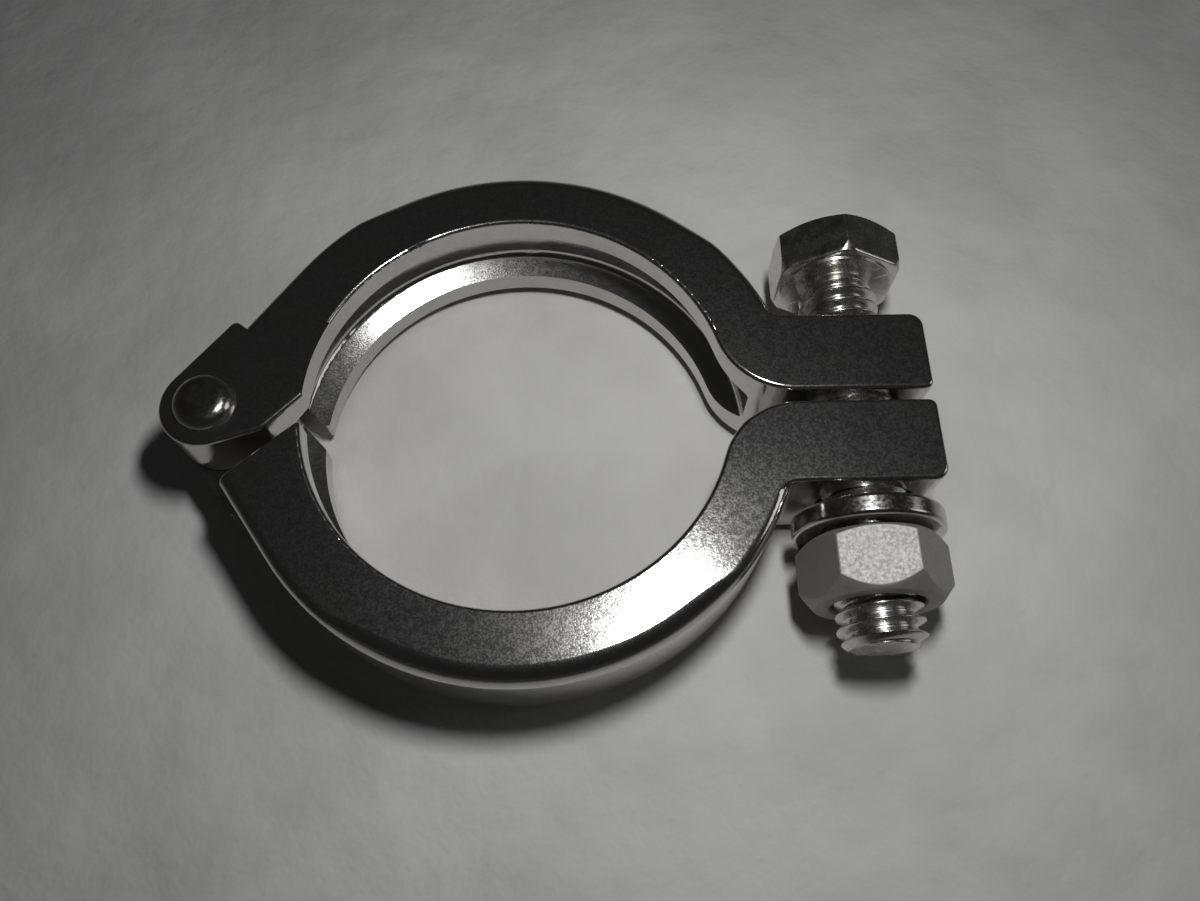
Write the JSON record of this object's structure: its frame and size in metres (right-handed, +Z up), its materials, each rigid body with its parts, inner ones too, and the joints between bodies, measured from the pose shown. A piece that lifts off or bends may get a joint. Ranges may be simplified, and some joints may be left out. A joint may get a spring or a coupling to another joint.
{
  "type": "sanitary hinged clamp",
  "caption": "Hinged two-jaw clamp with an internal trapezoid groove, a riveted lap hinge and a hexagon bolt, lock washer and nut through its lugs.",
  "frame": {"origin": "centre of the clamp's bore, half way up the ring", "axes": "+Z up along the bore's axis, +X from the bore towards the bolting lugs, +Y towards the bolt's head; the clamp lies flat"},
  "size_m": [0.0858, 0.062, 0.0173],
  "materials": {
    "cast_stainless": "tumbled and polished stainless casting",
    "rivet_stainless": "headed stainless rivet, polished",
    "fastener_stainless": "bright stainless fastener"
  },
  "bodies": {
    "lower_jaw": {"lower_jaw": "cast_stainless"},
    "upper_jaw": {"upper_jaw": "cast_stainless", "hinge_rivet": "rivet_stainless"},
    "bolt": {"clamp_bolt": "fastener_stainless"},
    "washer": {"lock_washer": "fastener_stainless"},
    "nut": {"hex_nut": "fastener_stainless"}
  },
  "joints": [
    {"name": "jaw_hinge", "type": "hinge", "parent": "lower_jaw", "child": "upper_jaw", "pos_m": [-0.034, 0, 0], "axis": [0, 0, 1], "range_deg": [-0.8, 5.5]},
    {"name": "bolt_swing", "type": "hinge", "parent": "lower_jaw", "child": "bolt", "pos_m": [0.0385, -0.00545, 0], "axis": [0, 0, 1], "range_deg": [-0.7, 4.3]},
    {"name": "nut_travel", "type": "slide", "parent": "bolt", "child": "washer", "axis": [0, 1, 0], "range_m": [-0.011, 0.0008]},
    {"name": "nut_spin", "type": "hinge", "parent": "washer", "child": "nut", "pos_m": [0.0385, -0.0185, 0.00035], "axis": [0, 1, 0], "range_deg": [-2495, 182]}
  ],
  "couplings": [
    {"joint": "bolt_swing", "follows": "jaw_hinge", "ratio": 0.75},
    {"joint": "nut_spin", "follows": "nut_travel", "rad_per_m": 3957.9}
  ]
}
